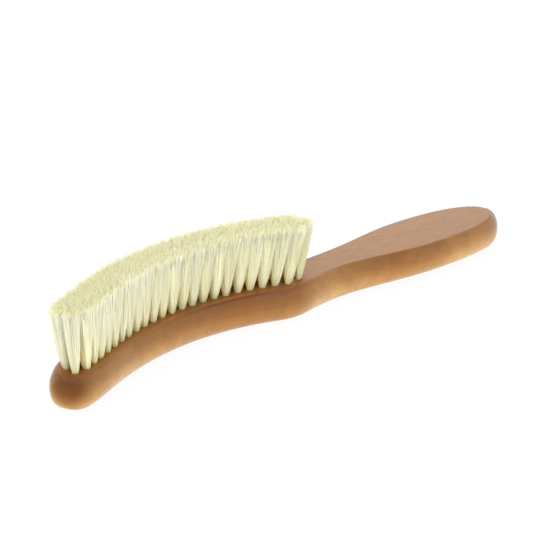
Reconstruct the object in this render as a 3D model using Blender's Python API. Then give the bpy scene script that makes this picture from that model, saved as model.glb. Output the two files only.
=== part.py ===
"""Hat brush: one shaped wooden back, flat on the bristle side and rounded below, with tufts of bristle
set in two curved rows of drilled holes and a single tuft at the heel of the rows.

X runs along the straight handle towards its end, the bristles point up along Z, and the concave side
of the curved head faces -Y. The origin is on the flat of the underside, where the straight handle
begins. A distance along the centreline counts from there towards the tip, so it is negative in the
handle. Everything is in metres."""

import math
import random

import bmesh
import bpy
from mathutils import Matrix, Vector

# Centreline, seen from above, from the end of the handle to the tip
HANDLE_LENGTH = 0.0897
NECK_SWEEP_RADIUS = 0.180
NECK_SWEEP_DEGREES = 10.9
NECK_BEND_RADIUS = 0.016
NECK_BEND_DEGREES = 30.4
HEAD_RADIUS = 0.1205
HEAD_DEGREES = 45.1
TIP_RADIUS = 0.780
TIP_LENGTH = 0.0364

# Wooden back: half widths of the flat face, and how the sides and the underside are rounded
THICKNESS = 0.0165
HANDLE_FLAT_HALF_WIDTH = 0.0142
NECK_FLAT_HALF_WIDTH = 0.0081
HEAD_FLAT_HALF_WIDTH = 0.0098
TIP_FLAT_HALF_WIDTH = 0.0086
HANDLE_FLARE_LENGTH = 0.0531
NECK_FLARE_LENGTH = 0.0326
TIP_TAPER_LENGTH = 0.045
SHOULDER_DEPTH = 0.0078
SHOULDER_BULGE = 0.0026
TIP_BULGE = 0.0027
HANDLE_END_LENGTH = 0.0477
TIP_END_LENGTH = 0.0199
UNDERSIDE_ROUND = 0.0095
REST_FLAT_HALF_WIDTH = 0.003
END_POWER = 2.3
SECTION_POWER = 2.4

# Rows of tufts
PAIR_COUNT = 23
TIP_TUFT_PITCH = 0.0055
HEEL_TUFT_PITCH = 0.0062
LAST_TUFT_PITCH = 0.0057
FIRST_FAR_SETBACK = 0.0018
TIP_MARGIN = 0.0080
FIRST_HALF_SPACING = 0.0026
TIP_HALF_SPACING = 0.0048
HEEL_HALF_SPACING = 0.0036

# One tuft: a tight round root in its hole, with strands that fan out above the wood
ROOT_RADIUS = 0.00145
ROOT_DEPTH = 0.008
ROOT_RISE = 0.0012
HOLE_CLEARANCE = 0.0003
STRAND_COUNT = 10
STRAND_GAP = 0.00009
BRISTLE_LENGTH = 0.0280
TOP_ROW_HALF_SPACING = 0.0042
TOP_HALF_ALONG = 0.0026
TOP_HALF_ACROSS = 0.0034
FIRST_TOP_HALF_SPACING = 0.0030
FIRST_TOP_HALF_ACROSS = 0.0026
TIP_LEAN = 0.0020
HEEL_LEAN = 0.0028
TRIM_UNEVENNESS = 0.0004
TRIM_SEED = 7

# How finely curved surfaces are divided
STATION_SPACING = 0.0046
END_STATIONS = 7
SHOULDER_STEPS = 4
UNDERSIDE_STEPS = 6
MERGE_DISTANCE = 0.00005

WOOD_COLOUR = (0.50, 0.28, 0.14, 1.0)
BRISTLE_COLOUR = (0.82, 0.78, 0.58, 1.0)


def clear_scene():
    for item in list(bpy.data.objects):
        bpy.data.objects.remove(item, do_unlink=True)


def new_collection(name):
    collection = bpy.data.collections.new(name)
    bpy.context.scene.collection.children.link(collection)
    return collection


def new_material(name, colour, roughness):
    material = bpy.data.materials.new(name)
    material.use_nodes = True
    shader = material.node_tree.nodes["Principled BSDF"]
    shader.inputs["Base Color"].default_value = colour
    shader.inputs["Roughness"].default_value = roughness
    shader.inputs["Metallic"].default_value = 0
    material.diffuse_color = colour
    return material


def new_object(name, bm, collection, material=None, sharp_degrees=35):
    mesh = bpy.data.meshes.new(name)
    bm.to_mesh(mesh)
    bm.free()
    mesh.shade_smooth()
    mesh.set_sharp_from_angle(angle=math.radians(sharp_degrees))
    if material:
        mesh.materials.append(material)
    item = bpy.data.objects.new(name, mesh)
    collection.objects.link(item)
    return item


def arcs():
    """The centreline beyond the handle, as (length, turn) pairs; a positive turn is towards -Y."""
    sweep, bend, head = map(math.radians, (NECK_SWEEP_DEGREES, NECK_BEND_DEGREES, HEAD_DEGREES))
    return (
        (NECK_SWEEP_RADIUS * sweep, sweep),
        (NECK_BEND_RADIUS * bend, -bend),
        (HEAD_RADIUS * head, head),
        (TIP_LENGTH, TIP_LENGTH / TIP_RADIUS),
    )


def walk(pieces, place, heading, distance):
    """Place and heading after this distance along a chain of arcs."""
    for length, turn in pieces:
        step = min(distance, length)
        half_turn = turn * step / length / 2
        chord = step * (math.sin(half_turn) / half_turn if half_turn else 1)
        middle = heading + half_turn
        place = place + Vector((math.cos(middle), math.sin(middle), 0)) * chord
        heading += 2 * half_turn
        distance -= step
    return place, heading


def centre_at(distance):
    """Place and heading of the centreline at this distance from the start of the handle."""
    if distance <= 0:
        return Vector((-distance, 0, 0)), math.pi
    return walk(arcs(), Vector((0, 0, 0)), math.pi, distance)


def tip_distance():
    return sum(length for length, _ in arcs())


def head_start():
    """Distance at which the neck bend ends and the curved head begins."""
    return sum(length for length, _ in arcs()[:2])


def row_line_at(distance):
    """Place and heading of the line between the rows: the head's curve, run on past the neck bend."""
    start = head_start()
    if distance >= start:
        return centre_at(distance)
    place, heading = centre_at(start)
    back = [(start - distance, -(start - distance) / HEAD_RADIUS)]
    place, reversed_heading = walk(back, place, heading + math.pi, start - distance)
    return place, reversed_heading - math.pi


def across(heading):
    """Unit vector towards the concave side of the head, square to the heading."""
    return Vector((-math.sin(heading), math.cos(heading), 0))


def ease(share):
    share = min(max(share, 0), 1)
    return (1 - math.cos(math.pi * share)) / 2


def rounded(share, power):
    """Quarter of a superellipse: 0 at 0, and 1 from 1 onwards."""
    share = min(max(share, 0), 1)
    return (1 - (1 - share) ** power) ** (1 / power)


def blend(low, high, share):
    return low + (high - low) * ease(share)


def flat_half_width(distance):
    """Half width of the flat face, before its ends are rounded."""
    wide_at = HANDLE_END_LENGTH - HANDLE_LENGTH
    neck_at = wide_at + HANDLE_FLARE_LENGTH
    taper_at = tip_distance() - TIP_END_LENGTH - TIP_TAPER_LENGTH
    if distance < neck_at:
        return blend(
            HANDLE_FLAT_HALF_WIDTH, NECK_FLAT_HALF_WIDTH, (distance - wide_at) / HANDLE_FLARE_LENGTH
        )
    if distance < taper_at:
        return blend(
            NECK_FLAT_HALF_WIDTH, HEAD_FLAT_HALF_WIDTH, (distance - neck_at) / NECK_FLARE_LENGTH
        )
    return blend(
        HEAD_FLAT_HALF_WIDTH, TIP_FLAT_HALF_WIDTH, (distance - taper_at) / TIP_TAPER_LENGTH
    )


def bulge_at(distance):
    taper_at = tip_distance() - TIP_END_LENGTH - TIP_TAPER_LENGTH
    return blend(SHOULDER_BULGE, TIP_BULGE, (distance - taper_at) / TIP_TAPER_LENGTH)


def section(distance):
    """Points of the cross section as (across, height), from one crease round the underside to the other."""
    from_handle_end = distance + HANDLE_LENGTH
    from_tip = tip_distance() - distance
    at_handle = from_handle_end < from_tip
    to_end = min(from_handle_end, from_tip)
    end_length = HANDLE_END_LENGTH if at_handle else TIP_END_LENGTH
    bulge = bulge_at(distance)

    body = (flat_half_width(distance) + bulge) * rounded(to_end / end_length, END_POWER)
    flat = flat_half_width(distance) * rounded(
        (to_end - bulge) / (end_length - bulge), END_POWER
    )
    widest = THICKNESS - SHOULDER_DEPTH
    crown = SHOULDER_DEPTH * rounded(to_end / bulge, 2)
    depth = widest * rounded(to_end / UNDERSIDE_ROUND, SECTION_POWER)
    rest = REST_FLAT_HALF_WIDTH * min(to_end / UNDERSIDE_ROUND, 1)

    crease_angle = math.acos(min(flat / body, 1))
    half = []
    for step in range(SHOULDER_STEPS):
        angle = crease_angle * (1 - step / SHOULDER_STEPS)
        height = crown * math.sin(angle) / math.sin(crease_angle)
        half.append((body * math.cos(angle), widest + height))
    rest = min(rest, body)
    for step in range(UNDERSIDE_STEPS + 1):
        angle = math.pi / 2 * step / UNDERSIDE_STEPS
        out = rest + (body - rest) * math.cos(angle) ** (2 / SECTION_POWER)
        half.append((out, widest - depth * math.sin(angle) ** (2 / SECTION_POWER)))
    return half


def station_distances():
    """Distances of the cross sections: even along the brush, and closing up towards both ends."""
    near_end = HANDLE_LENGTH - UNDERSIDE_ROUND
    near_tip = tip_distance() - UNDERSIDE_ROUND
    count = round((near_tip + near_end) / STATION_SPACING)
    closing = [
        UNDERSIDE_ROUND * math.sin(math.pi / 2 * step / END_STATIONS) for step in range(1, END_STATIONS)
    ]
    found = [-near_end - run for run in reversed(closing)]
    found += [-near_end + (near_tip + near_end) * step / count for step in range(count + 1)]
    return found + [near_tip + run for run in closing]


def loft_ring(bm, distance):
    """Both sides' points of one cross section, in order round the brush."""
    place, heading = centre_at(distance)
    side = across(heading)
    half = section(distance)
    points = [(out, height) for out, height in half]
    points += [(-out, height) for out, height in reversed(half)]
    return [bm.verts.new(place + side * out + Vector((0, 0, height))) for out, height in points]


def make_blank():
    """The wooden back before drilling: cross sections joined from the handle's end to the tip."""
    bm = bmesh.new()
    rings = [loft_ring(bm, distance) for distance in station_distances()]
    for ring, following in zip(rings, rings[1:]):
        for i in range(len(ring)):
            j = (i + 1) % len(ring)
            bm.faces.new((ring[i], ring[j], following[j], following[i]))
    for ring, distance in ((rings[0], -HANDLE_LENGTH), (rings[-1], tip_distance())):
        place, _ = centre_at(distance)
        pole = bm.verts.new(place + Vector((0, 0, THICKNESS - SHOULDER_DEPTH)))
        for i in range(len(ring)):
            bm.faces.new((ring[i], ring[(i + 1) % len(ring)], pole))
    bmesh.ops.remove_doubles(bm, verts=bm.verts, dist=MERGE_DISTANCE)
    bmesh.ops.recalc_face_normals(bm, faces=bm.faces)
    return bm


def pair_distance(number):
    """Distance of a pair of tufts, counted from the tip; the pitch opens evenly towards the heel."""
    opening = (HEEL_TUFT_PITCH - TIP_TUFT_PITCH) / (2 * PAIR_COUNT)
    return tip_distance() - TIP_MARGIN - number * (TIP_TUFT_PITCH + number * opening)


def half_spacing(number):
    """The first pair stands closest together; from the second on the rows close in towards the heel."""
    if number == 0:
        return FIRST_HALF_SPACING
    return blend(TIP_HALF_SPACING, HEEL_HALF_SPACING, number / PAIR_COUNT)


def tuft_places():
    """Name, place on the flat face, heading, and the shift and size of the top of every tuft."""
    found = []
    for number in range(PAIR_COUNT):
        lean = blend(TIP_LEAN, -HEEL_LEAN, number / PAIR_COUNT)
        spacing = half_spacing(number)
        top_spacing, half_across = TOP_ROW_HALF_SPACING, TOP_HALF_ACROSS
        if number == 0:
            top_spacing, half_across = FIRST_TOP_HALF_SPACING, FIRST_TOP_HALF_ACROSS
        for row, side in (("near", 1), ("far", -1)):
            name = f"tuft_{row}_{number + 1:02d}"
            setback = FIRST_FAR_SETBACK if number == 0 and row == "far" else 0
            place, heading = row_line_at(pair_distance(number) - setback)
            seat = place + across(heading) * side * spacing
            shift = Vector((lean + setback, side * (top_spacing - spacing), 0))
            found.append((name, seat, heading, shift, half_across))
    place, heading = row_line_at(pair_distance(PAIR_COUNT - 1) - LAST_TUFT_PITCH)
    found.append(("tuft_heel", place, heading, Vector((-HEEL_LEAN, 0, 0)), TOP_HALF_ACROSS))
    return found


def drill_holes(blank, places, collection):
    """One cutter that holds every hole, taken from the blank."""
    bm = bmesh.new()
    floor = THICKNESS - ROOT_DEPTH - HOLE_CLEARANCE
    depth = 2 * (THICKNESS - floor)
    for _, place, heading, _, _ in places:
        bmesh.ops.create_cone(
            bm,
            cap_ends=True,
            segments=STRAND_COUNT,
            radius1=ROOT_RADIUS + HOLE_CLEARANCE,
            radius2=ROOT_RADIUS + HOLE_CLEARANCE,
            depth=depth,
            matrix=Matrix.Translation(place + Vector((0, 0, floor + depth / 2)))
            @ Matrix.Rotation(heading, 4, "Z"),
        )
    cutter = new_object("tuft_hole_cutter", bm, collection)
    cutter.hide_render = True
    cutter.display_type = "WIRE"
    modifier = blank.modifiers.new("Tuft holes", "BOOLEAN")
    modifier.operation = "DIFFERENCE"
    modifier.solver = "EXACT"
    modifier.object = cutter


def make_tuft(name, place, heading, shift, half_across, chance, collection, material):
    """A root, and strands raised from the wedges of its top and spread evenly, so that none can cross."""
    bm = bmesh.new()
    bmesh.ops.create_circle(
        bm, cap_ends=True, cap_tris=True, segments=STRAND_COUNT, radius=ROOT_RADIUS
    )
    wedges = bm.faces[:]
    root = bmesh.ops.extrude_face_region(bm, geom=wedges, use_keep_orig=True)
    lower = [item for item in root["geom"] if isinstance(item, bmesh.types.BMVert)]
    bmesh.ops.translate(bm, verts=lower, vec=(0, 0, -ROOT_DEPTH - ROOT_RISE))
    bottom = [item for item in root["geom"] if isinstance(item, bmesh.types.BMFace)]
    bmesh.ops.dissolve_faces(bm, faces=bottom, use_verts=True)
    bmesh.ops.inset_individual(bm, faces=wedges, thickness=STRAND_GAP)
    strands = bmesh.ops.extrude_discrete_faces(bm, faces=wedges)["faces"]
    tops = [vert for strand in strands for vert in strand.verts]
    spread = Vector((TOP_HALF_ALONG / ROOT_RADIUS, half_across / ROOT_RADIUS, 1))
    bmesh.ops.scale(bm, verts=tops, vec=spread)
    rise = Vector((0, 0, BRISTLE_LENGTH - ROOT_RISE))
    bmesh.ops.translate(bm, verts=tops, vec=shift + rise)
    for strand in strands:
        cut = Vector((0, 0, chance.uniform(-TRIM_UNEVENNESS, TRIM_UNEVENNESS)))
        bmesh.ops.translate(bm, verts=strand.verts[:], vec=cut)
    bmesh.ops.recalc_face_normals(bm, faces=bm.faces)
    seat = Matrix.Translation(place + Vector((0, 0, THICKNESS + ROOT_RISE)))
    bmesh.ops.transform(bm, verts=bm.verts, matrix=seat @ Matrix.Rotation(heading, 4, "Z"))
    return new_object(name, bm, collection, material)


def build():
    clear_scene()
    brush = new_collection("hat_brush")
    cutters = new_collection("hat_brush_cutters")
    wood = new_material("lacquered_wood", WOOD_COLOUR, 0.35)
    bristle = new_material("natural_bristle", BRISTLE_COLOUR, 0.6)
    places = tuft_places()
    back = new_object("wooden_back", make_blank(), brush, wood)
    drill_holes(back, places, cutters)
    chance = random.Random(TRIM_SEED)
    for name, place, heading, shift, half_across in places:
        make_tuft(name, place, heading, shift, half_across, chance, brush, bristle)


build()
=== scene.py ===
# %% [markdown]
# # A hat brush: one piece of wood and forty-seven tufts
#
# The real brush is shaped from a single piece of pale wood, sanded, stained brown and lacquered. Its top
# is one flat face from the end of the handle to the tip, its sides and underside are rounded like a bar
# of soap, and its head curves to one side so that it follows the brim of a hat. Two curved rows of
# holes are drilled in the head, and a tuft of natural bristle stands in each.
#
# The imported model gives the true places and sizes. This file adds what makes it look real: a smooth
# back with a soft arris, an uneven stain with painted shade and light on it, a fine grain, and tufts
# made of single hairs.

# %% Load the imported model
import math
import random

import bmesh
import bpy
from mathutils import Matrix, Vector


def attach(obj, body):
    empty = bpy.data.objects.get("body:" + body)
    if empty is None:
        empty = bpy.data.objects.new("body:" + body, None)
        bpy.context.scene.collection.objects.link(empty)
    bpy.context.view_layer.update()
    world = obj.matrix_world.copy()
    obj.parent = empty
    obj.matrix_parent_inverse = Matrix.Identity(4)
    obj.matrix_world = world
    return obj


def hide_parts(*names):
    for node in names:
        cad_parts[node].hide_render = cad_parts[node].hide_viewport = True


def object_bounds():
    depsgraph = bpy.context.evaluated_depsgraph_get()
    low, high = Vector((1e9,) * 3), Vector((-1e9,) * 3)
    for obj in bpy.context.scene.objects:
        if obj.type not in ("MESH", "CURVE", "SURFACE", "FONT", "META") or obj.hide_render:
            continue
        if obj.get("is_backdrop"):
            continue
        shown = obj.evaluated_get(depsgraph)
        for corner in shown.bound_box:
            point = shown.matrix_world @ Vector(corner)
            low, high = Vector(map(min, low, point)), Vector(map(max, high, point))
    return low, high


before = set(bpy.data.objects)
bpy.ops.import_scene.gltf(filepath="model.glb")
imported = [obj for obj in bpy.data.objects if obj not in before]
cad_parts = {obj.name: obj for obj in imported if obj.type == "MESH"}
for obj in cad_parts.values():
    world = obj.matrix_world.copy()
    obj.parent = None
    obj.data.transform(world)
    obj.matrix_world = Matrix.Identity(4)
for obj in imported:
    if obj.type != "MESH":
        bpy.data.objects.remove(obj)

cad_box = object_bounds()
tuft_nodes = [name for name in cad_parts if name.startswith("tuft")]
print("nodes:", len(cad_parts), "of them tufts:", len(tuft_nodes))

# %% [markdown]
# ## The camera
#
# The photograph was taken with a long lens from the side of the curved head, a little above it. A
# camera is easiest to place by where it looks: the point it aims at, how far round the object it
# stands, how high, and how far away. Everything later is seen through this camera, so it comes first.

# %% Place the camera
VIEW_AZIMUTH, VIEW_ELEVATION = math.radians(322.3), math.radians(25.0)
VIEW_DISTANCE = 0.9658
AIM = Vector((-0.0400, -0.0035, 0.0165))
FOCAL_PIXELS = 2200
IMAGE_WIDTH = 560
SENSOR_WIDTH = 36


def looking(azimuth, elevation):
    """Unit vector along the view: azimuth 0 looks along +Y, and a high camera looks down."""
    flat = math.cos(elevation)
    return Vector((-math.sin(azimuth) * flat, math.cos(azimuth) * flat, -math.sin(elevation)))


view_direction = looking(VIEW_AZIMUTH, VIEW_ELEVATION)
camera_data = bpy.data.cameras.new("product_camera")
camera_data.sensor_width = SENSOR_WIDTH
camera_data.lens = SENSOR_WIDTH * FOCAL_PIXELS / IMAGE_WIDTH
camera = bpy.data.objects.new("product_camera", camera_data)
camera.location = AIM - view_direction * VIEW_DISTANCE
camera.rotation_euler = view_direction.to_track_quat("-Z", "Y").to_euler()
bpy.context.scene.collection.objects.link(camera)
bpy.context.scene.camera = camera
print("lens:", round(camera_data.lens, 1), "mm, camera at", [round(v, 3) for v in camera.location])

# %% [markdown]
# ## The centreline
#
# Seen from above, the brush follows a chain of arcs: a straight handle, a long gentle sweep, a short
# bend at the neck, the curved head, and a tip that is almost straight. A chain of arcs is better than
# a free curve here, because each arc has a radius that a maker could set on a template. Distances
# along the centreline count from where the handle meets the neck towards the tip, and are negative
# in the handle.

# %% Sizes of the centreline, in metres
HANDLE_LENGTH = 0.0897
NECK_SWEEP_RADIUS, NECK_SWEEP_TURN = 0.180, math.radians(10.9)
NECK_BEND_RADIUS, NECK_BEND_TURN = 0.016, math.radians(30.4)
HEAD_RADIUS, HEAD_TURN = 0.1205, math.radians(45.1)
TIP_RADIUS, TIP_LENGTH = 0.780, 0.0364

arcs = [
    (NECK_SWEEP_RADIUS * NECK_SWEEP_TURN, NECK_SWEEP_TURN),
    (NECK_BEND_RADIUS * NECK_BEND_TURN, -NECK_BEND_TURN),
    (HEAD_RADIUS * HEAD_TURN, HEAD_TURN),
    (TIP_LENGTH, TIP_LENGTH / TIP_RADIUS),
]
head_start = arcs[0][0] + arcs[1][0]
tip_distance = sum(length for length, _ in arcs)


def in_mm(lengths):
    """Lengths in millimetres, rounded, for printing."""
    return [round(1000 * length, 1) for length in lengths]


print("head start and tip along the centreline:", in_mm((head_start, tip_distance)), "mm")

# %% Walk along the centreline


def walk(pieces, place, heading, distance):
    """Place and heading after this distance along a chain of arcs."""
    for length, turn in pieces:
        step = min(distance, length)
        half_turn = turn * step / length / 2
        chord = step * (math.sin(half_turn) / half_turn if half_turn else 1)
        middle = heading + half_turn
        place = place + Vector((math.cos(middle), math.sin(middle), 0)) * chord
        heading += 2 * half_turn
        distance -= step
    return place, heading


def centre_at(distance):
    """Place and heading of the centreline at a distance."""
    if distance <= 0:
        return Vector((-distance, 0, 0)), math.pi
    return walk(arcs, Vector((0, 0, 0)), math.pi, distance)


def row_line_at(distance):
    """The line between the rows of tufts: the head's arc, run on past the neck bend."""
    if distance >= head_start:
        return centre_at(distance)
    place, heading = centre_at(head_start)
    run = head_start - distance
    place, backward = walk([(run, -run / HEAD_RADIUS)], place, heading + math.pi, run)
    return place, backward - math.pi


def across(heading):
    """Unit vector towards the concave side of the head."""
    return Vector((-math.sin(heading), math.cos(heading), 0))


print("tip of the brush:", in_mm(centre_at(tip_distance)[0]), "mm")

# %% [markdown]
# ## The outline and the section
#
# A cross section is all that changes along the way. The flat face is widest in the handle, narrows to a
# waist at the neck and widens a little at the head. Below its edge the side swells out to its widest
# level, and the underside closes like a superellipse, which is rounder than a box and fuller than a
# circle. At both ends the rim rolls over before the flat face begins. At the tip that roll is as wide
# as the side's bulge, and at the handle's end it is sanded a little wider.

# %% Sizes of the wooden back
THICKNESS = 0.0165
HANDLE_FLAT, NECK_FLAT, HEAD_FLAT, TIP_FLAT = 0.0142, 0.0081, 0.0098, 0.0086
HANDLE_FLARE_LENGTH, NECK_FLARE_LENGTH, TIP_TAPER_LENGTH = 0.0531, 0.0326, 0.045
SHOULDER_DEPTH, SHOULDER_BULGE, TIP_BULGE = 0.0078, 0.0026, 0.0027
HANDLE_END_ROLL = 0.0040
HANDLE_END_LENGTH, TIP_END_LENGTH = 0.0477, 0.0199
UNDERSIDE_ROUND, REST_HALF_WIDTH = 0.0095, 0.003
HANDLE_ARRIS, HEAD_ARRIS = 0.0006, 0.0011
CIRCLE_POWER, END_POWER, SECTION_POWER = 2, 2.3, 2.4


def ease(share):
    """A smooth step from 0 to 1."""
    return (1 - math.cos(math.pi * min(max(share, 0), 1))) / 2


def blend(low, high, share):
    """A smooth change from low to high as the share goes from 0 to 1."""
    return low + (high - low) * ease(share)


def rounded(share, power):
    """Quarter of a superellipse: 0 at 0, and 1 from 1 onwards."""
    share = min(max(share, 0), 1)
    return (1 - (1 - share) ** power) ** (1 / power)


wide_at = HANDLE_END_LENGTH - HANDLE_LENGTH
neck_at = wide_at + HANDLE_FLARE_LENGTH
taper_at = tip_distance - TIP_END_LENGTH - TIP_TAPER_LENGTH


def flat_half_width(distance):
    """Half width of the flat face, before its ends are rounded."""
    if distance < neck_at:
        return blend(HANDLE_FLAT, NECK_FLAT, (distance - wide_at) / HANDLE_FLARE_LENGTH)
    if distance < taper_at:
        return blend(NECK_FLAT, HEAD_FLAT, (distance - neck_at) / NECK_FLARE_LENGTH)
    return blend(HEAD_FLAT, TIP_FLAT, (distance - taper_at) / TIP_TAPER_LENGTH)


print("half flat face:", in_mm(flat_half_width(d) for d in (wide_at, neck_at, taper_at)), "mm wide")

# %% [markdown]
# The function below returns half a section as (across, height) points, from the middle of the flat
# face, over the arris and round the side, to the middle of the underside. The arris, where flat and
# side meet, is a short quadratic curve between a point on the flat and a point on the side, which is
# how sandpaper leaves it: crisp on the handle and softer at the head.

# %% Work out half a section
FLAT_SHARES = (0.0, 0.5, 0.93)
ARRIS_STEPS = 5
SHOULDER_STEPS = 9
UNDERSIDE_STEPS = 14


def side_point(body, crown, widest, crease_angle, share):
    """A point of the side: share 0 is at the crease and share 1 at the widest level."""
    angle = crease_angle * (1 - share)
    return Vector((body * math.cos(angle), widest + crown * math.sin(angle) / math.sin(crease_angle)))


def half_section(distance):
    """Points of half a section, from the middle of the flat face to the middle of the underside."""
    from_handle_end = distance + HANDLE_LENGTH
    from_tip = tip_distance - distance
    to_end = min(from_handle_end, from_tip)
    end_length = HANDLE_END_LENGTH if from_handle_end < from_tip else TIP_END_LENGTH
    bulge = blend(SHOULDER_BULGE, TIP_BULGE, (distance - taper_at) / TIP_TAPER_LENGTH)
    roll = HANDLE_END_ROLL if from_handle_end < from_tip else bulge
    width = flat_half_width(distance)
    body = (width + bulge) * rounded(to_end / end_length, END_POWER)
    flat = width * rounded((to_end - roll) / (end_length - roll), END_POWER)
    widest = THICKNESS - SHOULDER_DEPTH
    crown = SHOULDER_DEPTH * rounded(to_end / roll, CIRCLE_POWER)
    depth = widest * rounded(to_end / UNDERSIDE_ROUND, SECTION_POWER)
    rest = min(REST_HALF_WIDTH * min(to_end / UNDERSIDE_ROUND, 1), body)

    crease_angle = math.acos(min(flat / body, 1))
    arris = min(blend(HANDLE_ARRIS, HEAD_ARRIS, distance / head_start), flat / 2)
    first = arris / math.hypot(body - flat, crown)
    corner = Vector((flat, widest + crown))
    start = corner - Vector((arris, 0))
    end = side_point(body, crown, widest, crease_angle, first)
    points = [Vector((start.x * share, start.y)) for share in FLAT_SHARES]
    for step in range(ARRIS_STEPS):
        share = step / ARRIS_STEPS
        points.append(start.lerp(corner, share).lerp(corner.lerp(end, share), share))
    for step in range(SHOULDER_STEPS):
        share = first + (1 - first) * step / SHOULDER_STEPS
        points.append(side_point(body, crown, widest, crease_angle, share))
    for step in range(UNDERSIDE_STEPS + 1):
        angle = math.pi / 2 * step / UNDERSIDE_STEPS
        out = rest + (body - rest) * math.cos(angle) ** (2 / SECTION_POWER)
        points.append(Vector((out, widest - depth * math.sin(angle) ** (2 / SECTION_POWER))))
    return points


def section_points(distance):
    """The whole section in the brush's own space, in order round it."""
    place, heading = centre_at(distance)
    side = across(heading)
    half = half_section(distance)
    outline = [(point.x, point.y) for point in half]
    outline += [(-point.x, point.y) for point in reversed(half[1:])]
    return [place + side * out + Vector((0, 0, height)) for out, height in outline]


ring_size = len(section_points(0))
print("points in a section:", ring_size)

# %% [markdown]
# ## The wooden back
#
# The first section starts as a plain circle of vertices, moved to their places at the very end of the
# handle. The ring is then extruded from station to station. Each vertex carries its number round the
# ring in a small attribute, and an extrusion copies that number, so every new vertex knows which point
# of the next section it belongs to. The stations are close together at both ends, where the form turns
# quickly, and each end is closed on a single vertex.

# %% Stations along the back
STATION_SPACING = 0.0016
END_STATIONS = 22
END_SHARE = 0.0015


def station_distances():
    """Even along the brush, and closing up towards both ends."""
    near_end = HANDLE_LENGTH - UNDERSIDE_ROUND
    near_tip = tip_distance - UNDERSIDE_ROUND
    count = round((near_tip + near_end) / STATION_SPACING)
    turns = [math.pi / 2 * step / END_STATIONS for step in range(1, END_STATIONS)]
    closing = [UNDERSIDE_ROUND * math.sin(turn) for turn in turns]
    closing.append(UNDERSIDE_ROUND * (1 - END_SHARE))
    found = [-near_end - run for run in reversed(closing)]
    found += [-near_end + (near_tip + near_end) * step / count for step in range(count + 1)]
    return found + [near_tip + run for run in closing]


stations = station_distances()
print("stations:", len(stations))

# %% Extrude the section from the handle's end to the tip


def only(items, kind):
    """The vertices, edges or faces among what an operator made."""
    return [item for item in items if isinstance(item, kind)]


def grow(bm, edges):
    """Extrude a ring of edges once, and return its new vertices and edges."""
    grown = bmesh.ops.extrude_edge_only(bm, edges=edges)["geom"]
    return only(grown, bmesh.types.BMVert), only(grown, bmesh.types.BMEdge)


def close_end(bm, ring_edges, pole):
    """Close the open ring with a fan of triangles that meet in one vertex."""
    verts, _ = grow(bm, ring_edges)
    for vert in verts:
        vert.co = pole
    bmesh.ops.pointmerge(bm, verts=verts, merge_co=pole)


bm = bmesh.new()
number = bm.verts.layers.int.new("ring_number")
ring = bmesh.ops.create_circle(bm, cap_ends=False, segments=ring_size, radius=THICKNESS)["verts"]
for i, (vert, point) in enumerate(zip(ring, section_points(stations[0]))):
    vert[number] = i
    vert.co = point
first_edges = bm.edges[:]
last_edges = first_edges
for distance in stations[1:]:
    verts, last_edges = grow(bm, last_edges)
    points = section_points(distance)
    for vert in verts:
        vert.co = points[vert[number]]
pole_height = Vector((0, 0, THICKNESS - SHOULDER_DEPTH))
close_end(bm, last_edges, centre_at(tip_distance)[0] + pole_height)
close_end(bm, first_edges, centre_at(-HANDLE_LENGTH)[0] + pole_height)
bmesh.ops.recalc_face_normals(bm, faces=bm.faces)
print("faces of the blank:", len(bm.faces))

# %% [markdown]
# ## The holes
#
# A machine drills the holes and drives a tuft into each, so they stand in two rows that keep to the
# head's arc. Towards the heel the pitch opens a little and the rows close in. The pair at the tip stands
# closest together, where the flat face narrows, and its far tuft is set back. One single hole ends the
# rows at the heel, at a pitch of its own. The tufts are not quite upright: their tops lean forward at
# the tip and back at the heel, and keep the same distance between the rows.

# %% Places of the tufts
PAIR_COUNT = 23
TIP_TUFT_PITCH, HEEL_TUFT_PITCH, TIP_MARGIN = 0.0055, 0.0062, 0.0080
LAST_TUFT_PITCH, FIRST_FAR_SETBACK = 0.0057, 0.0018
FIRST_HALF_SPACING, TIP_HALF_SPACING, HEEL_HALF_SPACING = 0.0026, 0.0048, 0.0036
TOP_ROW_HALF_SPACING, FIRST_TOP_HALF_SPACING = 0.0042, 0.0030
TIP_LEAN, HEEL_LEAN = 0.0020, 0.0028


def pair_distance(pair):
    """Distance of a pair of tufts, counted from the tip; the pitch opens towards the heel."""
    opening = (HEEL_TUFT_PITCH - TIP_TUFT_PITCH) / (2 * PAIR_COUNT)
    return tip_distance - TIP_MARGIN - pair * (TIP_TUFT_PITCH + pair * opening)


def half_spacing(pair):
    """The first pair stands closest together; from the second on the rows close in smoothly."""
    closing = blend(TIP_HALF_SPACING, HEEL_HALF_SPACING, pair / PAIR_COUNT)
    return closing if pair else FIRST_HALF_SPACING


def tuft_places():
    """Node name, seat on the flat face, heading, side, and the shift of the tuft's top."""
    found = []
    for pair in range(PAIR_COUNT):
        lean = blend(TIP_LEAN, -HEEL_LEAN, pair / PAIR_COUNT)
        top_spacing = TOP_ROW_HALF_SPACING if pair else FIRST_TOP_HALF_SPACING
        for row, side in (("near", 1), ("far", -1)):
            setback = FIRST_FAR_SETBACK if pair == 0 and row == "far" else 0
            place, heading = row_line_at(pair_distance(pair) - setback)
            seat = place + across(heading) * side * half_spacing(pair)
            shift = Vector((lean + setback, side * (top_spacing - half_spacing(pair)), 0))
            found.append((f"tuft_{row}_{pair + 1:02d}", seat, heading, side, shift))
    place, heading = row_line_at(pair_distance(PAIR_COUNT - 1) - LAST_TUFT_PITCH)
    found.append(("tuft_heel", place, heading, 0, Vector((-HEEL_LEAN, 0, 0))))
    return found


places = tuft_places()
heel_x = places[-1][1].x
print("tufts:", len(places), "first seat:", in_mm(places[0][1]), "mm")

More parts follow.
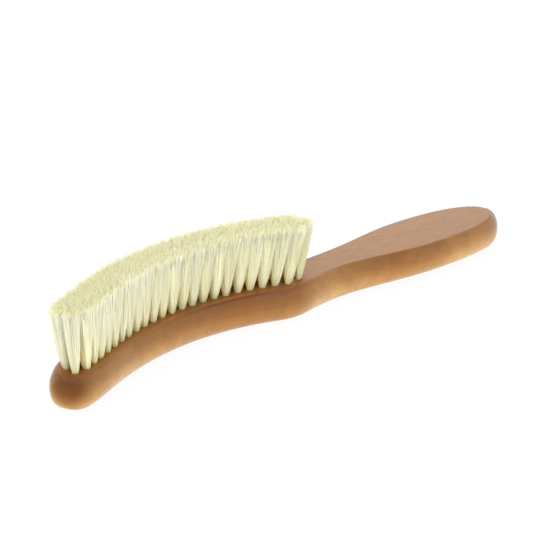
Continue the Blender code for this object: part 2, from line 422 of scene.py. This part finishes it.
# %% [markdown]
# All the drills are joined in one cutter, and one Boolean takes them from the wood, because a single
# cut with a clean closed shape is safer than forty-seven cuts in a row. A drill is a little wider at
# the surface, where the edge of a real hole is broken, and it ends above the wood so that no face of it
# lies in the flat face.

# %% Drill a hole, and turn a bmesh into a piece
HOLE_RADIUS = 0.00175
HOLE_DEPTH = 0.0080
BROKEN_EDGE = 0.00018
DRILL_SIDES = 24
DRILL_OVERRUN = 0.002
SHARP_ANGLE = math.radians(40)


def add_drill(bm, surface):
    """One drill: a turned bar that opens out at the surface of the wood and runs on above it."""
    wide = HOLE_RADIUS + BROKEN_EDGE
    profile = (
        (0, -HOLE_DEPTH), (HOLE_RADIUS, -HOLE_DEPTH), (HOLE_RADIUS, -BROKEN_EDGE),
        (wide, 0), (wide, DRILL_OVERRUN), (0, DRILL_OVERRUN),
    )
    verts = [bm.verts.new(surface + Vector((out, 0, rise))) for out, rise in profile]
    edges = [bm.edges.new(pair) for pair in zip(verts, verts[1:])]
    bmesh.ops.spin(
        bm, geom=verts + edges, cent=surface, axis=(0, 0, 1),
        angle=2 * math.pi, steps=DRILL_SIDES, use_merge=True,
    )


def report_mesh(name, bm):
    """Print whether a body is closed, and its volume."""
    open_edges = [edge for edge in bm.edges if not edge.is_manifold]
    volume = round(1e9 * bm.calc_volume(signed=True))
    print(name, "open edges:", len(open_edges), "volume:", volume, "mm3")


def new_piece(name, bm, sharp_angle=SHARP_ANGLE):
    """A finished mesh object at the origin, shaded smooth between its sharp edges."""
    mesh = bpy.data.meshes.new(name)
    bm.to_mesh(mesh)
    bm.free()
    mesh.shade_smooth()
    mesh.set_sharp_from_angle(angle=sharp_angle)
    piece = bpy.data.objects.new(name, mesh)
    bpy.context.scene.collection.objects.link(piece)
    return piece


report_mesh("blank", bm)
blank = new_piece("blank", bm)

# %% Drill the wooden back
MERGE_DISTANCE = 0.000001
bm = bmesh.new()
for _, seat, _, _, _ in places:
    add_drill(bm, seat + Vector((0, 0, THICKNESS)))
bmesh.ops.remove_doubles(bm, verts=bm.verts, dist=MERGE_DISTANCE)
bmesh.ops.recalc_face_normals(bm, faces=bm.faces)
report_mesh("drills", bm)
drills = new_piece("drills", bm)
cut = blank.modifiers.new("Tuft holes", "BOOLEAN")
cut.operation = "DIFFERENCE"
cut.solver = "EXACT"
cut.object = drills
bpy.context.view_layer.update()
drilled = bpy.data.meshes.new_from_object(blank.evaluated_get(bpy.context.evaluated_depsgraph_get()))
bm = bmesh.new()
bm.from_mesh(drilled)
report_mesh("drilled back", bm)
back = new_piece("brush_back", bm)
for spare in (blank, drills):
    bpy.data.objects.remove(spare, do_unlink=True)
bpy.data.meshes.remove(drilled)
print("wooden back:", len(back.data.polygons), "faces, box", in_mm(back.dimensions), "mm")

# %% [markdown]
# ## A tuft of bristle
#
# A disc the size of the hole is divided into small triangles, and each triangle is one hair. All hairs
# are spread by one rule from the same disc, so they fan out evenly: the round root opens to a nearly
# square top, because neighbouring tufts press each other flat. A hair is squeezed thin in the hole,
# swells to its full size above it and gets finer again at its tip. A little chance gives each hair its
# own end, bend and length, and a few strays stand out of the trimmed top.

# %% Sizes of a tuft
ROOT_RADIUS, ROOT_DEPTH, ROOT_SINK = 0.00138, 0.0070, 0.0010
BRISTLE_LENGTH = 0.0280
TOP_HALF_SIZES = (0.0042, 0.0046)
TIP_TOP_HALF_SIZES, HEEL_TOP_HALF_SIZES = (0.0032, 0.0030), (0.0030, 0.0030)
TOP_SQUARENESS, FLARE_POWER = 0.6, 0.92
DISC_SEGMENTS, DISC_CUTS = 12, 6
HAIR_GAP = 0.000010
HAIR_LEVEL_SHARES = (0.10, 0.28, 0.52, 0.78, 1.0)
HAIR_SWELL_SHARE, TIP_FINENESS = 1.55, 0.82
HAIR_BEND = 0.00014
TOP_SCATTER_SHARES = (0.26, 0.13)
TRIM_SCATTER, TUFT_UNEVENNESS = 0.00055, 0.00015
STRAY_SHARE, STRAY_SCATTER = 0.05, 1.7
BRISTLE_SEED = 12
chance = random.Random(BRISTLE_SEED)
print("hairs in a tuft:", DISC_SEGMENTS * (DISC_CUTS + 1) ** 2)

# %% Plan a hair


def top_place(root, shift, half_sizes):
    """Where a hair ends without chance: the round root spreads to a nearly square top."""
    half_along, half_across = half_sizes
    out = root.xy.length
    corner = (out / max(abs(root.x), abs(root.y))) ** TOP_SQUARENESS if out else 1
    along = root.x * corner * half_along / ROOT_RADIUS
    return Vector((along, root.y * corner * half_across / ROOT_RADIUS, BRISTLE_LENGTH)) + shift


def hair_plan(root, shift, half_sizes, trim):
    """Where one hair's tip ends and how it bends, from where its root stands in the hole."""
    scatter = STRAY_SCATTER if chance.random() < STRAY_SHARE else 1
    along, across_row = (scatter * share * size for share, size in zip(TOP_SCATTER_SHARES, half_sizes))
    cut = trim + chance.gauss(0, scatter * TRIM_SCATTER)
    stray = Vector((chance.gauss(0, along), chance.gauss(0, across_row), cut))
    top = top_place(root, shift, half_sizes) + stray
    bend = Vector((chance.gauss(0, HAIR_BEND), chance.gauss(0, HAIR_BEND), 0))
    return root, top, bend


def hair_place(plan, share):
    """Centre of the hair at this share of its length; the bend is a parabola, greatest halfway up."""
    root, top, bend = plan
    spread = share ** FLARE_POWER
    place = root + (top - root) * spread + bend * 4 * share * (1 - share)
    place.z = root.z + (top.z - root.z) * share
    return place


def hair_swell(share):
    """Thickness of a hair: squeezed in the hole, full above it, and finer at its tip."""
    return 1 + (HAIR_SWELL_SHARE - 1) * math.sin(math.pi * share * TIP_FINENESS)


print("swell of a hair:", [round(hair_swell(share), 2) for share in HAIR_LEVEL_SHARES])

# %% [markdown]
# One can see between a few hundred modelled hairs to the far side, while a real tuft is packed with far
# more. So a core stands inside the outer hairs: one plain body that spreads by the same rule, stays a
# little narrower than they do, and closes below their ends, so that the trimmed top stays ragged.
#
# Each vertex carries three numbers: which hair it belongs to, that hair's own tone, and how sheltered
# the hair stands. The material reads the last two. The core has a tone above 1, which no hair has.

# %% Pack the core of a tuft
CORE_LEVELS = (
    (0.10, 0.93), (0.28, 0.935), (0.52, 0.92), (0.78, 0.88), (0.88, 0.78), (0.93, 0.55), (0.945, 0.2),
)
CORE_SEGMENTS, CORE_TONE = 24, 2.0


def tuft_layers(bm):
    """The three numbers of a vertex: its hair, the hair's tone and its shelter."""
    layers = bm.verts.layers
    return layers.int.new("hair"), layers.float.new("hair_tone"), layers.float.new("hair_shelter")


def mark(verts, layers, *numbers):
    """Write the three numbers on vertices."""
    for vert in verts:
        for layer, value in zip(layers, numbers):
            vert[layer] = value


def shelter(root, side, end):
    """How far a hair faces the middle of the brush or a neighbour: 0 on the outside, 1 within."""
    outward = max(side * root.y if side else abs(root.y), end * root.x)
    return 1 - max(outward / ROOT_RADIUS, 0)


def add_core(bm, layers, side, end, shift, half_sizes):
    """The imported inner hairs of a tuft, as one body that stays inside the outer hairs."""
    circle = bmesh.ops.create_circle(bm, cap_ends=True, segments=CORE_SEGMENTS, radius=ROOT_RADIUS)
    ring = circle["verts"]
    roots = [vert.co.copy() for vert in ring]
    for i, (vert, root) in enumerate(zip(ring, roots)):
        mark([vert], layers, i, CORE_TONE, shelter(root, side, end))
    bmesh.ops.scale(bm, verts=ring, vec=(CORE_LEVELS[0][1], CORE_LEVELS[0][1], 1))
    edges = ring[0].link_faces[0].edges[:]
    for level, width in CORE_LEVELS:
        verts, edges = grow(bm, edges)
        for vert in verts:
            root = roots[vert[layers[0]]] * width
            vert.co = hair_place((root, top_place(root, shift, half_sizes), Vector((0, 0, 0))), level)
    bmesh.ops.edgeloop_fill(bm, edges=edges)


print("levels of the core:", len(CORE_LEVELS))

# %% [markdown]
# Now a whole tuft. First the disc is extruded downwards for the tight root in the hole. Then every
# triangle is inset, which leaves a narrow gap between hairs, and drawn up in a few steps, each of them
# to its planned place. The tuft is made at the origin and moved to its seat at the end, so all tufts
# come from one recipe. Its hairs begin to spread a millimetre below the surface, inside the hole.

# %% Make a tuft
HAIR_SHARP_ANGLE = math.radians(60)


def make_disc(bm):
    """The root of a tuft, and the faces on its top that become the hairs."""
    bmesh.ops.create_circle(bm, cap_ends=True, cap_tris=True, segments=DISC_SEGMENTS, radius=ROOT_RADIUS)
    bmesh.ops.subdivide_edges(bm, edges=bm.edges, cuts=DISC_CUTS, use_grid_fill=True)
    disc = bm.faces[:]
    root = bmesh.ops.extrude_face_region(bm, geom=disc, use_keep_orig=True)["geom"]
    lower = only(root, bmesh.types.BMVert)
    bmesh.ops.translate(bm, verts=lower, vec=(0, 0, -ROOT_DEPTH + ROOT_SINK))
    bmesh.ops.dissolve_faces(bm, faces=only(root, bmesh.types.BMFace), use_verts=True)
    bmesh.ops.inset_individual(bm, faces=disc, thickness=HAIR_GAP)
    return disc


def make_tuft(name, seat, heading, side, end, shift, half_sizes):
    """One tuft in its hole; end is 1 at the tip of the brush, -1 at its heel and 0 elsewhere."""
    bm = bmesh.new()
    layers = tuft_layers(bm)
    faces = make_disc(bm)
    trim = chance.uniform(-TUFT_UNEVENNESS, TUFT_UNEVENNESS)
    plans = []
    for face in faces:
        centre = face.calc_center_median()
        mark(face.verts, layers, len(plans), chance.random(), shelter(centre, side, end))
        plans.append(hair_plan(centre, shift, half_sizes, trim))
    for last_share, share in zip((0, *HAIR_LEVEL_SHARES), HAIR_LEVEL_SHARES):
        faces = bmesh.ops.extrude_discrete_faces(bm, faces=faces)["faces"]
        swell = hair_swell(share) / hair_swell(last_share)
        for face in faces:
            old_centre = face.calc_center_median()
            new_centre = hair_place(plans[face.verts[0][layers[0]]], share)
            for vert in face.verts:
                vert.co = new_centre + (vert.co - old_centre) * swell
    add_core(bm, layers, side, end, shift, half_sizes)
    bmesh.ops.recalc_face_normals(bm, faces=bm.faces)
    stand = Matrix.Translation(seat + Vector((0, 0, THICKNESS - ROOT_SINK)))
    bmesh.ops.transform(bm, verts=bm.verts, matrix=stand @ Matrix.Rotation(heading, 4, "Z"))
    return new_piece(name, bm, HAIR_SHARP_ANGLE)


tufts = {}
for node_name, seat, heading, side, shift in places:
    half_sizes, end = TOP_HALF_SIZES, 0
    if node_name.endswith("_01"):
        half_sizes, end = TIP_TOP_HALF_SIZES, 1
    if node_name == "tuft_heel":
        half_sizes, end = HEEL_TOP_HALF_SIZES, -1
    piece_name = node_name.replace("tuft", "bristles")
    tufts[node_name] = make_tuft(piece_name, seat, heading, side, end, shift, half_sizes)
print("tufts made:", len(tufts))

# %% [markdown]
# ## Helpers for materials
#
# A node material is a small graph. The helpers below make a node, set its sockets and link them in one
# line, so that a material reads from top to bottom like a recipe. The first two work with any node, and
# the others stand for the few kinds of node that a natural finish needs again and again.

# %% Make and fill any node


def node_tree(owner):
    """The node tree of a material or a world, switched on."""
    owner.use_nodes = True
    return owner.node_tree


def fill(tree, made, **sockets):
    """Set a node's sockets, named or numbered after an underscore; an output is linked instead."""
    for key, value in sockets.items():
        number = key[1:]
        socket = made.inputs[int(number) if number.isdigit() else key.replace("_", " ")]
        if isinstance(value, bpy.types.NodeSocket):
            tree.links.new(value, socket)
        else:
            socket.default_value = value


def add(tree, kind, settings=None, **sockets):
    """Add a node with its settings and sockets, and return its outputs."""
    made = tree.nodes.new(kind)
    for key, value in (settings or {}).items():
        setattr(made, key, value)
    fill(tree, made, **sockets)
    return made.outputs


print("ready for any node: node_tree, fill and add")

# %% Helpers for masks and numbers


def span(tree, value, low, high, to_low=0.0, to_high=1.0, smooth=False):
    """From low to high the result runs from to_low to to_high, and it stays there beyond."""
    return add(
        tree, "ShaderNodeMapRange", {"interpolation_type": "SMOOTHSTEP" if smooth else "LINEAR"},
        Value=value, From_Min=low, From_Max=high, To_Min=to_low, To_Max=to_high,
    )["Result"]


def reckon(tree, operation, *values):
    """One sum of arithmetic on one or two values."""
    sockets = {f"_{i}": value for i, value in enumerate(values)}
    return add(tree, "ShaderNodeMath", {"operation": operation}, **sockets)["Value"]


def product(tree, first, *others):
    """Masks or values multiplied with one another: a mask is 1 only where all of them are."""
    for other in others:
        first = reckon(tree, "MULTIPLY", first, other)
    return first


def between(tree, share, first, second):
    """A number between two others: the first where share is 0, and the second where it is 1."""
    return add(tree, "ShaderNodeMix", _0=share, _2=first, _3=second)[0]


def compare(tree, operation, first, second):
    """The distance or the dot product of two vectors."""
    return add(tree, "ShaderNodeVectorMath", {"operation": operation}, _0=first, _1=second)["Value"]


print("ready for numbers: span, reckon, product, between and compare")

# %% Helpers for colours, patterns and relief


def mix(tree, share, first, second, blend_type="MIX"):
    """The first colour where share is 0, and the second where it is 1."""
    settings = {"data_type": "RGBA", "blend_type": blend_type}
    return add(tree, "ShaderNodeMix", settings, _0=share, _6=first, _7=second)[2]


def multiply_over(tree, share, colour, over):
    """A colour with another laid over it, which multiplies it: for stains and for painted shade alike."""
    return mix(tree, share, colour, over, "MULTIPLY")


def ramp(tree, value, stops):
    """A colour that changes with the value from stop to stop."""
    made = tree.nodes.new("ShaderNodeValToRGB")
    fill(tree, made, Fac=value)
    elements = made.color_ramp.elements
    while len(elements) < len(stops):
        elements.new(1)
    for element, (position, colour) in zip(elements, stops):
        element.position = position
        element.color = (*colour, 1)
    return made.outputs["Color"]


def noise(tree, place, scale, detail, roughness, distortion=0.0):
    """Noise as many times finer along x, y and z as the scale says."""
    space = add(tree, "ShaderNodeMapping", Vector=place, Scale=scale)["Vector"]
    return add(
        tree, "ShaderNodeTexNoise",
        Vector=space, Scale=1.0, Detail=detail, Roughness=roughness, Distortion=distortion,
    )["Fac"]


def relief(tree, height, strength, distance):
    """A normal that shows a value as fine relief; the distance is its depth in metres."""
    return add(tree, "ShaderNodeBump", Strength=strength, Distance=distance, Height=height)["Normal"]


print("ready for colours: mix, stain, ramp, noise and relief")

# %% [markdown]
# ## Lacquered wood
#
# The wood is pale and close grained, with a warm brown stain under a satin lacquer. Much of the colour
# on its sides is painted shade and light over that stain. The material is built up step by step: the
# rounded sides, the flat face, the darker places, and the grain over all.
#
# The masks come from the place of a point and from the way its surface faces, so they hold from every
# side. On the sides the colour is painted shade under the crease and painted light on the belly, darkest
# under the crease and palest on the belly. The colour also changes along the plank: it is darkest at the
# heel of the rows and the handle's very end, and palest at the neck.

# %% Paint shade and light on the rounded sides
# Painted shade under the crease and painted light on the belly, from the crease down to the belly.
SIDE_SHADE_AND_LIGHT = (
    (0.0, (0.205, 0.079, 0.015)), (0.4, (0.340, 0.148, 0.034)), (1.0, (0.575, 0.305, 0.102)),
)
BELLY_HEIGHT = 0.001
# How dark the wood is from step to step along the plank, between a paler and a darker colour.
PLANK_START, PLANK_END = -0.170, 0.100
PLANK_DARKNESS = (
    (0.04, 0.25), (0.09, 0.55), (0.13, 0.10), (0.22, 0.55), (0.40, 1), (0.485, 0.85), (0.53, 0),
    (0.57, 0), (0.61, 0.40), (0.69, 0.78), (0.77, 0.65), (0.83, 0.05), (0.90, 0.20), (0.95, 0.9),
)
PALE_PLANK, DARK_PLANK = (1.38, 1.60, 1.78, 1), (0.91, 0.80, 0.55, 1)

lacquered_wood = bpy.data.materials.new("lacquered_wood")
wood = node_tree(lacquered_wood)
wood_place = add(wood, "ShaderNodeTexCoord")["Object"]
wood_spot = add(wood, "ShaderNodeSeparateXYZ", Vector=wood_place)
wood_normal = add(wood, "ShaderNodeNewGeometry")["Normal"]
facing_up = add(wood, "ShaderNodeSeparateXYZ", Vector=wood_normal)["Z"]

below_crease = span(wood, wood_spot["Z"], THICKNESS, BELLY_HEIGHT, smooth=True)
painted_side_shading = ramp(wood, below_crease, SIDE_SHADE_AND_LIGHT)
along_plank = span(wood, wood_spot["X"], PLANK_START, PLANK_END)
plank_darkness = ramp(wood, along_plank, [(position, (grey,) * 3) for position, grey in PLANK_DARKNESS])
plank_tone = mix(wood, plank_darkness, PALE_PLANK, DARK_PLANK)
sides = multiply_over(wood, 1.0, painted_side_shading, plank_tone)
print("nodes for the sides:", len(wood.nodes))

# %% [markdown]
# The flat face was planed after the sides were shaped, and took the stain evenly. Between the tufts it is
# darker with painted shade, the shadow of the tufts. That mask is a band along the rows, on upward faces
# only, and it fades out just past the last tuft.

# %% Stain the flat face, and paint shade along the rows
FLAT_FACING, FLAT_STAIN = (0.80, 0.97), (0.300, 0.134, 0.036, 1)
ROW_REACH = 0.0125
ROW_CORE = ROW_REACH * 0.55
ROW_FACING = 0.45, 0.80
HEEL_FADE_START, HEEL_FADE_END = heel_x + 0.007, heel_x - 0.001
# Painted shade of the tufts on the flat face between the rows, paler and darker along the plank.
ROW_SHADES = (1.02, 0.88, 0.66, 1), (0.77, 0.60, 0.42, 1)

rows_start, rows_heading = centre_at(head_start)
rows_middle = rows_start + across(rows_heading) * HEAD_RADIUS + Vector((0, 0, THICKNESS))
flatness = span(wood, facing_up, *FLAT_FACING)
faced = mix(wood, flatness, sides, FLAT_STAIN)
row_distance = compare(wood, "DISTANCE", wood_place, rows_middle)
off_the_rows = reckon(wood, "ABSOLUTE", reckon(wood, "SUBTRACT", row_distance, HEAD_RADIUS))
row_band = span(wood, off_the_rows, ROW_REACH, ROW_CORE, smooth=True)
row_top = span(wood, facing_up, *ROW_FACING)
row_end = span(wood, wood_spot["X"], HEEL_FADE_START, HEEL_FADE_END)
row_shade_mask = product(wood, row_band, row_top, row_end)
row_shaded = multiply_over(wood, row_shade_mask, faced, mix(wood, plank_darkness, *ROW_SHADES))
print("middle of the rows' arc:", in_mm(rows_middle), "mm")

# %% [markdown]
# Two places are darker than the rest. A thin line of painted shade runs along the rounded crease of the
# head, where the wood is darker along the plank as well, and fades out before the neck. And the nose of
# the head is darkest: its end grain soaks up more stain, and painted shade lies over it as well.

# %% Darken the crease and the nose
CREASE_TOP_FACING, CREASE_LOW_FACING = (0.99, 0.93), (0.50, 0.75)
CREASE_PLANK_RANGE, CREASE_RUN = (0.60, 0.85), (-0.038, -0.058)
# Painted shade along the rounded crease of the head.
CREASE_SHADE = (0.74, 0.57, 0.36, 1)
NOSE_REACH = 0.0140
NOSE_CORE = NOSE_REACH / 6
NOSE_HEIGHT, NOSE_RADIUS, NOSE_TURN = 0.0115, 0.0090, math.radians(21)
# The nose is darker: partly end grain that takes more stain, and partly painted shade.
NOSE_GRAIN_AND_SHADE = (0.43, 0.30, 0.125, 1)

crease_shade = product(
    wood,
    span(wood, facing_up, *CREASE_TOP_FACING),
    span(wood, facing_up, *CREASE_LOW_FACING),
    span(wood, plank_darkness, *CREASE_PLANK_RANGE),
    span(wood, wood_spot["X"], *CREASE_RUN),
)
crease_shaded = multiply_over(wood, crease_shade, row_shaded, CREASE_SHADE)
nose, nose_heading = centre_at(tip_distance - NOSE_RADIUS)
nose_heading += NOSE_TURN
nose += Vector((math.cos(nose_heading), math.sin(nose_heading), 0)) * NOSE_RADIUS
nose.z = NOSE_HEIGHT
nose_distance = compare(wood, "DISTANCE", wood_place, nose)
nose_mask = span(wood, nose_distance, NOSE_REACH, NOSE_CORE, smooth=True)
nose_darkened = multiply_over(wood, nose_mask, crease_shaded, NOSE_GRAIN_AND_SHADE)
print("middle of the nose:", in_mm(nose), "mm")

# %% [markdown]
# The grain runs along the handle, because the blank is sawn from a straight plank, and it keeps that
# direction through the curved head. Four noises make it: a soft curl that shows on the rounded sides
# only, broad bands along the plank, the grain lines, which are stronger on the planed face, and very
# fine short flecks for the pores. All but the curl are stretched along the plank.

# %% Grain the wood
GRAIN_TURN = (0, 0.02, math.radians(2.5))
# Each noise: its scale along x, y and z, then detail, roughness and distortion.
CURL = (120, 90, 130), 2.0, 0.45, 0.9
BANDS = (14, 110, 110), 4.0, 0.55, 0.6
LINES = (170, 1050, 1600), 3.0, 0.6
FLECKS = (420, 4200, 4200), 1.0, 0.5
NOISE_RANGE, FLECK_RANGE = (0.3, 0.7), (0.62, 0.74)
CURL_TONES, BAND_TONES = (0.90, 1.09), (0.93, 1.06)
LINE_TONES, PLANED_TONES = (0.94, 1.05), (0.78, 1.19)
PORE_SHARES, PORE_COLOUR = (0.0, 0.45), (0.14, 0.055, 0.02, 1)

grain_place = add(wood, "ShaderNodeMapping", Vector=wood_place, Rotation=GRAIN_TURN)["Vector"]
curl = span(wood, noise(wood, grain_place, *CURL), *NOISE_RANGE, *CURL_TONES)
side_curl = between(wood, flatness, curl, 1.0)
bands = span(wood, noise(wood, grain_place, *BANDS), *NOISE_RANGE, *BAND_TONES)
fine = noise(wood, grain_place, *LINES)
side_lines = span(wood, fine, *NOISE_RANGE, *LINE_TONES)
planed_lines = span(wood, fine, *NOISE_RANGE, *PLANED_TONES)
lines = between(wood, flatness, side_lines, planed_lines)
grained = multiply_over(wood, 1.0, nose_darkened, product(wood, side_curl, bands, lines))
pores = span(wood, noise(wood, grain_place, *FLECKS), *FLECK_RANGE, *PORE_SHARES)
flecked = mix(wood, pores, grained, PORE_COLOUR)
print("nodes with the grain:", len(wood.nodes))

# %% [markdown]
# Over the stain lies a satin lacquer, which is the shader's coat. It is thinner at the nose, between the
# tufts and along the crease, where the same masks darken the colour. The grain lines move the roughness
# and a faint bump, since lacquer sinks a little into open pores.

# %% Lacquer the wood
SATIN = 0.36, 0.46
WOOD_GLOSS = 0.15
# Each relief: its strength, and its depth in metres.
PORE_RELIEF = 0.18, 0.00006
FULL_COAT, THIN_COAT = 0.9, 0.35
COAT_ROUGHNESS, COAT_IOR = 0.10, 1.36

# The coat is thinner on the masks of the painted shade between the tufts and along the crease, and at the
# nose.
thin_coat_mask = reckon(wood, "MAXIMUM", reckon(wood, "MAXIMUM", nose_mask, row_shade_mask), crease_shade)
fill(
    wood, wood.nodes["Principled BSDF"], Base_Color=flecked,
    Roughness=span(wood, fine, *NOISE_RANGE, *SATIN),
    Normal=relief(wood, reckon(wood, "SUBTRACT", fine, pores), *PORE_RELIEF),
    Specular_IOR_Level=WOOD_GLOSS,
    Coat_Weight=span(wood, thin_coat_mask, 0, 1, FULL_COAT, THIN_COAT),
    Coat_Roughness=COAT_ROUGHNESS, Coat_IOR=COAT_IOR,
)
back.data.materials.append(lacquered_wood)
print("wood nodes:", len(wood.nodes))

# %% [markdown]
# ## Natural bristle
#
# Bleached hog bristle is cream, yellower at its root and at its cut ends, and no two hairs are alike.
# Each hair carries its own tone in an attribute, and its height gives the change from root to tip. The
# packed core has no hairs of its own, so a noise stretched upwards draws strands on it: as relief all
# over, and as colour near its top, where it shows between the trimmed ends.

# %% Colour the hairs and the core
HEIGHT_COLOURS = (
    (0.0, (0.90, 0.86, 0.56)), (0.15, (0.985, 0.99, 0.86)),
    (0.92, (0.990, 0.99, 0.85)), (1.0, (0.98, 0.96, 0.69)),
)
TONE_COLOURS = ((0.0, (0.91, 0.88, 0.74)), (0.45, (1.0, 1.0, 1.0)))
STRANDS = (2800, 2800, 220), 1.0, 0.5
STRAND_RANGE, STRAND_TONES = (0.38, 0.58), (0.60, 1.0)
CORE_COLOUR, CORE_TOP = (0.985, 0.970, 0.69, 1), (0.82, 0.90)

natural_bristle = bpy.data.materials.new("natural_bristle")
bristle = node_tree(natural_bristle)
bristle_place = add(bristle, "ShaderNodeTexCoord")["Object"]
bristle_spot = add(bristle, "ShaderNodeSeparateXYZ", Vector=bristle_place)
tone = add(bristle, "ShaderNodeAttribute", {"attribute_name": "hair_tone"})["Fac"]
sheltered = add(bristle, "ShaderNodeAttribute", {"attribute_name": "hair_shelter"})["Fac"]
up_the_hair = span(bristle, bristle_spot["Z"], THICKNESS, THICKNESS + BRISTLE_LENGTH)

haired = multiply_over(
    bristle, 1.0, ramp(bristle, up_the_hair, HEIGHT_COLOURS), ramp(bristle, tone, TONE_COLOURS)
)
strands = noise(bristle, bristle_place, *STRANDS)
stranded = span(bristle, strands, *STRAND_RANGE, *STRAND_TONES)
core = multiply_over(bristle, span(bristle, up_the_hair, *CORE_TOP), CORE_COLOUR, stranded)
in_core = span(bristle, tone, 1.0, CORE_TONE)
packed = mix(bristle, in_core, haired, core)
print("nodes for hairs and core:", len(bristle.nodes))

# %% [markdown]
# Two things change the cream from place to place. Below their trimmed ends the hairs are whitest at the
# tip of the brush and turn creamier towards the heel. And low down between the tufts they turn a warm
# yellow, which is painted shade: that is what the shelter is for.

# %% Warm the hairs and finish them
CREAM_START = -0.170
CREAM = ((0.05, (1.0, 1.0, 1.0)), (0.5, (0.955, 0.955, 0.915)), (1.0, (0.95, 0.945, 0.87)))
BELOW_TRIM = 0.97, 0.85
LOW_DOWN = 0.90, 0.18
# Painted warm shade low down between the tufts.
WARM_GAP_SHADE = (0.985, 0.895, 0.55, 1)
HAIR_ROUGHNESS, HAIR_GLOSS = (0.38, 0.52), 0.38
STRAND_RELIEF = 0.7, 0.0003

towards_heel = span(bristle, bristle_spot["X"], CREAM_START, heel_x)
cream = ramp(bristle, towards_heel, CREAM)
creamed = multiply_over(bristle, span(bristle, up_the_hair, *BELOW_TRIM), packed, cream)
gap_shade_mask = product(bristle, span(bristle, up_the_hair, *LOW_DOWN, smooth=True), sheltered)
fill(
    bristle, bristle.nodes["Principled BSDF"],
    Base_Color=multiply_over(bristle, gap_shade_mask, creamed, WARM_GAP_SHADE),
    Roughness=span(bristle, tone, 0, 1, *HAIR_ROUGHNESS),
    Normal=relief(bristle, product(bristle, strands, in_core), *STRAND_RELIEF),
    Specular_IOR_Level=HAIR_GLOSS,
)
for piece in tufts.values():
    piece.data.materials.append(natural_bristle)
print("bristle nodes:", len(bristle.nodes))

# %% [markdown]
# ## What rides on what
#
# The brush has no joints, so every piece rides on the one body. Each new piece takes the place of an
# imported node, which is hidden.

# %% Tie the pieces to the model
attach(back, "root")
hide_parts("wooden_back")
for node_name, piece in tufts.items():
    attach(piece, "root")
    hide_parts(node_name)
print("pieces tied:", 1 + len(tufts))

# %% [markdown]
# ## Studio
#
# The photograph has a white ground without an edge. The floor here is nearly white, so it throws light
# up on the lower sides of the wood, and it keeps a faint shadow. To the camera and in reflections it is
# mostly a plain white glow, because a lit floor would turn grey with distance.

# %% Lay the floor
FLOOR_SIZE, FLOOR_DROP = 8.0, 0.0002
PAPER_COLOUR, PAPER_ROUGHNESS, PAPER_GLOSS = (0.90, 0.90, 0.90, 1), 0.9, 0.1
GLOW_SHARE = 0.95
WHITE = (1, 1, 1, 1)

bm = bmesh.new()
bmesh.ops.create_grid(bm, x_segments=1, y_segments=1, size=FLOOR_SIZE / 2)
bmesh.ops.translate(bm, verts=bm.verts, vec=(0, 0, -FLOOR_DROP))
floor = new_piece("studio_floor", bm)
white_paper = bpy.data.materials.new("white_paper")
paper = node_tree(white_paper)
paper_shader = paper.nodes["Principled BSDF"]
fill(
    paper, paper_shader,
    Base_Color=PAPER_COLOUR, Roughness=PAPER_ROUGHNESS, Specular_IOR_Level=PAPER_GLOSS,
)
rays = add(paper, "ShaderNodeLightPath")
seen = reckon(paper, "MAXIMUM", rays["Is Camera Ray"], rays["Is Glossy Ray"])
seen = reckon(paper, "MAXIMUM", seen, rays["Is Transmission Ray"])
glow = add(paper, "ShaderNodeEmission", Color=WHITE, Strength=1.0)["Emission"]
shown = add(
    paper, "ShaderNodeMixShader",
    _0=product(paper, seen, GLOW_SHARE), _1=paper_shader.outputs["BSDF"], _2=glow,
)
fill(paper, paper.nodes["Material Output"], Surface=shown["Shader"])
floor.data.materials.append(white_paper)
floor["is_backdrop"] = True
print("floor:", FLOOR_SIZE, "m wide")

# %% [markdown]
# The light is soft and comes from above: one large lamp high over the camera's side, and a sky that is
# nearly even, a little brighter behind the brush than in front of it. To the camera the sky is plain
# white.

# %% Hang the lamp and light the sky
LAMP_AZIMUTH, LAMP_ELEVATION = math.radians(310), math.radians(66)
LAMP_DISTANCE, LAMP_SIZE, LAMP_POWER = 1.6, 2.1, 12
SKY_BRIGHT_SIDE = (0.60, 0.70, 0.38)
SKY_RANGE, SKY_STRENGTHS = (-0.7, 0.6), (1.00, 1.15)

lamp_data = bpy.data.lights.new("top_softbox", "AREA")
lamp_data.size = LAMP_SIZE
lamp_data.energy = LAMP_POWER
lamp = bpy.data.objects.new("top_softbox", lamp_data)
light_direction = looking(LAMP_AZIMUTH, LAMP_ELEVATION)
lamp.location = AIM - light_direction * LAMP_DISTANCE
lamp.rotation_euler = light_direction.to_track_quat("-Z", "Y").to_euler()
bpy.context.scene.collection.objects.link(lamp)

bpy.context.scene.world = bpy.data.worlds.new("studio_world")
sky = node_tree(bpy.context.scene.world)
sky_direction = add(sky, "ShaderNodeTexCoord")["Generated"]
bright_side = compare(sky, "DOT_PRODUCT", sky_direction, SKY_BRIGHT_SIDE)
sky_strength = span(sky, bright_side, *SKY_RANGE, *SKY_STRENGTHS, smooth=True)
to_camera = add(sky, "ShaderNodeLightPath")["Is Camera Ray"]
fill(
    sky, sky.nodes["Background"],
    Color=WHITE, Strength=between(sky, to_camera, sky_strength, 1.0),
)
bpy.context.scene.view_settings.view_transform = "Standard"

# %% [markdown]
# ## The last look at the sizes
#
# The visual model may stand only a little proud of the imported one: here the ragged hair ends do, at the
# top. Both boxes are printed.

# %% Print both sizes and finish
visual_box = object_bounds()
print("CAD box:", [in_mm(corner) for corner in cad_box])
print("visual box:", [in_mm(corner) for corner in visual_box])
